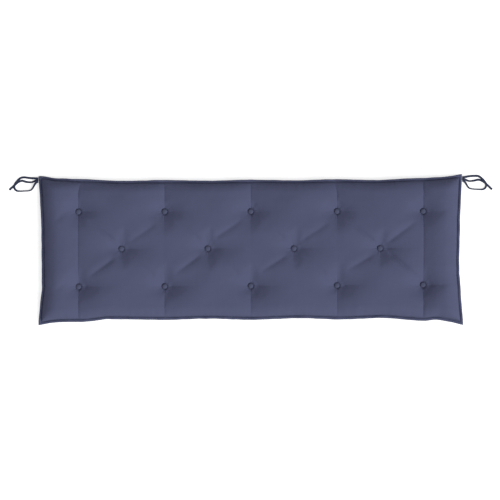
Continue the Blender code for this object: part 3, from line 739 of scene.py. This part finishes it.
def cover(material):
    """The top on every line of the grid, the underside on every second one, joined at the lip's edge."""
    columns, rows = cover_lines()
    x, y = np.meshgrid(columns, rows, indexing="ij")
    top, under = cover_points(x, y, True), cover_points(x, y, False)
    top[..., 2] += relief(x, y)
    top += given_way(columns, rows)
    n, m = x.shape
    index = np.arange(n * m).reshape(n, m)
    below = index.copy()
    inner = below[2:-2:2, 2:-2:2]
    inner[...] = n * m + np.arange(inner.size).reshape(inner.shape)
    points = np.concatenate([top.reshape(-1, 3), under[2:-2:2, 2:-2:2].reshape(-1, 3)])
    flat = np.stack([x, y], -1)
    pattern = np.concatenate([flat.reshape(-1, 2), flat[2:-2:2, 2:-2:2].reshape(-1, 2)])
    cells = np.stack([index[:-1, :-1], index[1:, :-1], index[1:, 1:], index[:-1, 1:]], -1)
    faces = [tuple(cell) for cell in cells.reshape(-1, 4).tolist()]
    for i in range(0, n - 1, 2):
        for j in range(0, m - 1, 2):
            ring = [(i + along, j + across) for along, across in CELL_RING]
            on_rim = [p % (n - 1) == 0 or q % (m - 1) == 0 for p, q in ring]
            kept = [k for k in range(8) if k % 2 == 0 or on_rim[k]]
            faces.append(tuple(int(below[ring[k]]) for k in kept))
    places = pattern[[corner for face in faces for corner in face]]
    return made_object("cushion_cover_cloth", points, faces, places, material)


def lip_stitches(tree, thread):
    """The top-stitching in the groove between the lip and the filling, on both faces."""
    half_x, half_y = LENGTH / 2 - LIP_WIDTH, WIDTH / 2 - LIP_WIDTH
    corners = np.array([(-half_x, -half_y), (half_x, -half_y), (half_x, half_y), (-half_x, half_y)])
    sides = zip(corners, np.roll(corners, -1, axis=0))
    way = np.concatenate([np.linspace(start, end, STITCH_SAMPLES, endpoint=False) for start, end in sides])
    rows = []
    for top, name in ((True, "lip_stitches_top"), (False, "lip_stitches_underside")):
        path = cover_points(way[:, 0], way[:, 1], top)
        rows.append(stitches(name, tree, path, True, TOP_STITCH, thread))
    return joined(rows[0], rows[1:])


# --- the buttons ---------------------------------------------------------------------------------
BUTTON_SIDES, BUTTON_TURNS = 48, 14
BUTTON_WIDEST = 0.40  # share of its height where a button is widest
BUTTON_FOOT = 0.50  # radius of its underside, as a share of its own
BUTTON_GATHERS, BUTTON_GATHER_DEPTH = 18, 0.035
BUTTON_TURNED = 0.985  # share of the half turn from foot to top; the rest is its flat middle
BUTTON_UNDER_POWER, BUTTON_DOME_POWER = 0.8, 0.92  # how full its sides are, below and above
BUTTON_SLANT = 0.3  # radians to either side that the covering's threads may lie turned


def button(name, material):
    """A shell covered in cloth: a smooth dome, drawn in below with small gathers."""
    low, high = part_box(name)
    middle = [(a + b) / 2 for a, b in zip(low, high)]
    radius, height = (high[0] - low[0]) / 2, high[2] - low[2]
    draw = np.random.default_rng(sum(map(ord, name)))
    phase, slant = draw.uniform(0, math.tau), draw.uniform(-BUTTON_SLANT, BUTTON_SLANT)
    rings, places, cloth_way = [], [], 0.0
    before = None
    for step in range(2 * BUTTON_TURNS + 1):
        turn = math.pi * (step / (2 * BUTTON_TURNS) * BUTTON_TURNED - 0.5)
        up = math.sin(turn)
        if up < 0:
            share = BUTTON_FOOT + (1 - BUTTON_FOOT) * math.cos(turn) ** BUTTON_UNDER_POWER
            z = height * BUTTON_WIDEST * (1 + up)
        else:
            share = math.cos(turn) ** BUTTON_DOME_POWER
            z = height * (BUTTON_WIDEST + (1 - BUTTON_WIDEST) * up)
        if before:
            cloth_way += math.hypot((share - before[0]) * radius, z - before[1])
        before = (share, z)
        gathered = BUTTON_GATHER_DEPTH * max(0.0, -up) ** 0.5 * math.cos(turn)
        ring, at = [], []
        for k in range(BUTTON_SIDES + 1):
            angle = math.tau * k / BUTTON_SIDES
            fold = 1 - gathered * (1 + math.cos(BUTTON_GATHERS * angle + phase)) / 2
            reach = radius * share * fold
            x, y = middle[0] + reach * math.cos(angle), middle[1] + reach * math.sin(angle)
            ring.append((x, y, low[2] + z))
            at.append((angle, cloth_way))
        rings.append(ring[:-1])
        places.append(at)
    flat = []
    for row in places:
        spokes = [(cloth_way - way, angle + slant) for angle, way in row]
        flat.append([(spoke * math.cos(angle), spoke * math.sin(angle)) for spoke, angle in spokes])
    return ringed(name + "_covered", rings, flat, material)


# --- the ties ------------------------------------------------------------------------------------
TAPE_STEP = 0.0014
# Section of the folded strip, as shares of half its width and half its thickness: the fold at the left,
# the row of stitches at the right, and the two turned-in edges with a slit between them.
TAPE_SECTION = (
    (-1.00, 0.00),
    (-0.97, -0.62),
    (-0.84, -0.96),
    (-0.40, -0.86),
    (0.10, -0.92),
    (0.44, -0.92),
    (0.60, -0.60),
    (0.76, -0.92),
    (0.92, -0.98),
    (1.00, -0.60),
    (0.94, -0.12),
    (0.94, 0.12),
    (1.00, 0.60),
    (0.92, 0.98),
    (0.76, 0.92),
    (0.60, 0.60),
    (0.44, 0.92),
    (0.10, 0.92),
    (-0.40, 0.86),
    (-0.84, 0.96),
    (-0.97, 0.62),
)
TAPE_STITCH_AT = (0.60, 0.66)
TAPE_STITCH = (0.0036, 0.0026, 0.0005)
TAPE_END_SIZE = 0.86  # of its section at the very ends, which rounds them
TAPE_END_STEPS = 3  # steps at each end that have no stitches


def through(points, share):
    """A point at this share of the way along a Catmull-Rom curve through the points."""
    place = share * (len(points) - 1)
    i = min(int(place), len(points) - 2)
    t = place - i
    before, start, end, after = (points[min(max(k, 0), len(points) - 1)] for k in (i - 1, i, i + 1, i + 2))
    return tuple(
        0.5 * (2 * b + (c - a) * t + (2 * a - 5 * b + 4 * c - d) * t**2 + (3 * b - a - 3 * c + d) * t**3)
        for a, b, c, d in zip(before, start, end, after)
    )


def tape_frames(route):
    """The middle of the tape, its direction across and its direction up, at each step of the route."""
    count = round(sum(math.dist(a[:3], b[:3]) for a, b in zip(route, route[1:])) / TAPE_STEP)
    samples = [through(route, k / count) for k in range(count + 1)]
    frames = []
    for k, (x, y, z, roll) in enumerate(samples):
        before, after = samples[max(k - 1, 0)], samples[min(k + 1, count)]
        along = (Vector(after[:3]) - Vector(before[:3])).normalized()
        level = along.cross(Vector((0, 0, 1))).normalized()
        turn = math.radians(roll)
        across = Matrix.Rotation(turn, 3, along) @ level
        half_height = (TAPE_WIDTH * abs(math.sin(turn)) + TAPE_THICKNESS * math.cos(turn)) / 2
        frames.append((Vector((x, y, max(z, half_height + GAP / 2))), across, across.cross(along)))
    return frames


def tie(name, cloth, thread, tree):
    """A tape along its route, with its row of stitches on both faces."""
    frames = tape_frames(TIE_ROUTES[name])
    half_width, half_thickness = TAPE_WIDTH / 2, TAPE_THICKNESS / 2
    section = [(a * half_width, u * half_thickness) for a, u in TAPE_SECTION]
    sides = [math.dist(a, b) for a, b in zip(section, section[1:] + section[:1])]
    around = np.concatenate([[0], np.cumsum(sides)])
    rings, places, along = [], [], 0.0
    for k, (middle, across, up) in enumerate(frames):
        along += (middle - frames[k - 1][0]).length if k else 0.0
        ends = min(1.0, TAPE_END_SIZE + (1 - TAPE_END_SIZE) * min(k, len(frames) - 1 - k))
        rings.append([tuple(middle + (across * a + up * u) * ends) for a, u in section])
        places.append([(float(way), along) for way in around])
    made = ringed(name + "_tape", rings, places, cloth)
    made.data.flip_normals()  # the section goes round clockwise, seen from the route's far end
    rows, stitched = [], frames[TAPE_END_STEPS:-TAPE_END_STEPS]
    for face in (1, -1):
        at, lift = TAPE_STITCH_AT[0] * half_width, TAPE_STITCH_AT[1] * half_thickness * face
        path = [tuple(middle + across * at + up * lift) for middle, across, up in stitched]
        rows.append(stitches(f"{name}_stitches_{face + 2}", tree, path, False, TAPE_STITCH, thread))
    return joined(made, rows), [tuple(middle) for middle, _, _ in frames], along


# --- camera, light and floor ---------------------------------------------------------------------
PHOTO_WIDTH = 500  # pixels
METRES_PER_PIXEL = 0.00358
PHOTO_CENTRE = (-0.0011, -0.0018)  # what the middle of the photograph shows
LENS, SENSOR = 120.0, 36.0
FAR_CLIP = 100  # metres
SUN_AZIMUTH, SUN_ELEVATION, SUN_SPREAD = -35, 40, 50  # degrees
SUN_STRENGTH, SUN_DISTANCE, WORLD_STRENGTH = 2.6, 5, 0.44
FLOOR_REACH, FLOOR_ROUGHNESS, FLOOR_GLOW = 12, 0.9, 0.6


def camera():
    data = bpy.data.cameras.new("camera")
    data.lens, data.sensor_width = LENS, SENSOR
    made = bpy.data.objects.new("camera", data)
    distance = PHOTO_WIDTH * METRES_PER_PIXEL * LENS / SENSOR
    made.location = (*PHOTO_CENTRE, distance + SEAM_HEIGHT)
    bpy.context.scene.collection.objects.link(made)
    bpy.context.scene.camera = made
    data.clip_end = FAR_CLIP


def key_light():
    """A wide soft light that comes from the photo's lower right."""
    data = bpy.data.lights.new("key_light", "SUN")
    data.angle, data.energy = math.radians(SUN_SPREAD), SUN_STRENGTH
    azimuth, elevation = math.radians(SUN_AZIMUTH), math.radians(SUN_ELEVATION)
    level = math.cos(elevation)
    place = Vector((math.cos(azimuth) * level, math.sin(azimuth) * level, math.sin(elevation)))
    made = bpy.data.objects.new("key_light", data)
    made.location = place * SUN_DISTANCE
    made.rotation_mode = "QUATERNION"
    made.rotation_quaternion = (-place).to_track_quat("-Z", "Y")
    bpy.context.scene.collection.objects.link(made)


def studio():
    scene = bpy.context.scene
    scene.view_settings.view_transform = "Standard"
    world = bpy.data.worlds.new("studio")
    world.use_nodes = True
    world.node_tree.nodes["Background"].inputs["Color"].default_value = (1, 1, 1, 1)
    world.node_tree.nodes["Background"].inputs["Strength"].default_value = WORLD_STRENGTH
    scene.world = world
    key_light()
    mesh = bpy.data.meshes.new("floor")
    corners = [(x * FLOOR_REACH, y * FLOOR_REACH, 0) for x, y in ((-1, -1), (1, -1), (1, 1), (-1, 1))]
    mesh.from_pydata(corners, [], [(0, 1, 2, 3)])
    floor = bpy.data.objects.new("floor", mesh)
    material = bpy.data.materials.new("pale_paper_floor")
    material.use_nodes = True
    shader = material.node_tree.nodes["Principled BSDF"]
    shader.inputs["Base Color"].default_value = linear(FLOOR_HEX)
    shader.inputs["Roughness"].default_value = FLOOR_ROUGHNESS
    shader.inputs["Emission Color"].default_value = (1, 1, 1, 1)
    shader.inputs["Emission Strength"].default_value = FLOOR_GLOW
    mesh.materials.append(material)
    floor.visible_diffuse = False  # a white floor this bright would light the cushion's walls from below
    scene.collection.objects.link(floor)


# --- materials -----------------------------------------------------------------------------------
def cloth_material(name, hex_colour, thread_width):
    """Plain-woven solution-dyed polyester: matt, with a grain of crossing threads and faint uneven yarns."""
    material = bpy.data.materials.new(name)
    material.use_nodes = True
    tree = material.node_tree
    shader = tree.nodes["Principled BSDF"]
    times, wave, plus = {"operation": "MULTIPLY"}, {"operation": "SINE"}, {"operation": "ADD"}
    place = add_node(tree, "ShaderNodeUVMap", {"uv_map": "cloth"}).outputs[0]
    apart = add_node(tree, "ShaderNodeSeparateXYZ", Vector=place)
    rounds = []
    for way in ("X", "Y"):
        turn = add_node(tree, "ShaderNodeMath", times, i0=apart.outputs[way], i1=math.pi / thread_width)
        rounds.append(add_node(tree, "ShaderNodeMath", wave, i0=turn.outputs[0]).outputs[0])
    over = add_node(tree, "ShaderNodeMath", times, i0=rounds[0], i1=rounds[1]).outputs[0]
    weave = add_node(tree, "ShaderNodeMapRange", Value=over, From_Min=-1.0).outputs[0]

    yarns = []
    for stretch in ((1 / YARN_WIDTH, 1 / SLUB_LENGTH, 0), (1 / SLUB_LENGTH, 1 / YARN_WIDTH, 0)):
        drawn = add_node(tree, "ShaderNodeVectorMath", times, i0=place, i1=stretch).outputs[0]
        yarns.append(add_node(tree, "ShaderNodeTexNoise", Vector=drawn, Scale=1.0, Detail=3.0).outputs[0])
    yarn = add_node(tree, "ShaderNodeMath", plus, i0=yarns[0], i1=yarns[1]).outputs[0]
    dye = add_node(tree, "ShaderNodeTexNoise", Vector=place, Scale=1 / DYE_WIDTH, Detail=2.0).outputs[0]
    tone = 1.0
    shades = ((yarn, YARN_RANGE, YARN_TONE), (dye, DYE_RANGE, DYE_TONE), (weave, (0.0, 1.0), WEAVE_TONE))
    for value, (lowest, highest), change in shades:
        spread_out = {"Value": value, "From_Min": lowest, "From_Max": highest}
        part = add_node(tree, "ShaderNodeMapRange", **spread_out, To_Min=1 - change, To_Max=1 + change)
        tone = add_node(tree, "ShaderNodeMath", times, i0=tone, i1=part.outputs[0]).outputs[0]
    dyed = linear(hex_colour)[:3]
    colour = add_node(tree, "ShaderNodeVectorMath", {"operation": "SCALE"}, i0=dyed, Scale=tone).outputs[0]
    relief_depth = thread_width * THREAD_RELIEF
    bump = add_node(tree, "ShaderNodeBump", Strength=BUMP_STRENGTH, Distance=relief_depth, Height=weave)
    tree.links.new(colour, shader.inputs["Base Color"])
    tree.links.new(bump.outputs[0], shader.inputs["Normal"])
    shader.inputs["Roughness"].default_value = CLOTH_ROUGHNESS
    shader.inputs["Specular IOR Level"].default_value = CLOTH_SHINE
    return material


def thread_material():
    """Spun polyester sewing thread, a little smoother than the cloth, with a soft shine along its ply. Its
    dark colour is partly the thread's own and partly painted shade for the groove along the lip.
    """
    material = bpy.data.materials.new("spun_polyester_thread_with_painted_seam_shade")
    material.use_nodes = True
    tree = material.node_tree
    shader = tree.nodes["Principled BSDF"]
    place = add_node(tree, "ShaderNodeTexCoord").outputs["Object"]
    ply = add_node(tree, "ShaderNodeTexNoise", Vector=place, Scale=1 / PLY_WIDTH, Detail=1.0).outputs[0]
    change = {"To_Min": 1 - PLY_TONE, "To_Max": 1 + PLY_TONE}
    tone = add_node(tree, "ShaderNodeMapRange", Value=ply, **change).outputs[0]
    # darker than the thread's own colour, as painted shade for the groove that the lip's stitching lies in
    dyed = linear(THREAD_AND_SEAM_SHADE_HEX)[:3]
    colour = add_node(tree, "ShaderNodeVectorMath", {"operation": "SCALE"}, i0=dyed, Scale=tone).outputs[0]
    tree.links.new(colour, shader.inputs["Base Color"])
    shader.inputs["Roughness"].default_value = THREAD_ROUGHNESS
    shader.inputs["Specular IOR Level"].default_value = THREAD_SHINE
    return material


def main():
    camera()
    cloth = cloth_material("woven_polyester_cloth", CLOTH_HEX, CLOTH_THREAD)
    covering = cloth_material("woven_polyester_on_buttons", BUTTON_HEX, BUTTON_THREAD)
    strip = cloth_material("folded_polyester_strip", TAPE_HEX, TAPE_THREAD)
    thread = thread_material()
    tree = stitch_tree()

    for name, route in TIE_ROUTES.items():
        piece, path, length = tie(name, strip, thread, tree)
        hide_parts(name)
        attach(piece, "root")

    piece = cover(cloth)
    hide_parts("cushion_cover")
    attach(piece, "root")
    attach(lip_stitches(tree, thread), "root")

    for name, _, _, _ in button_places():
        piece = button(name, covering)
        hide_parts(name)
        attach(piece, "root")

    studio()


main()
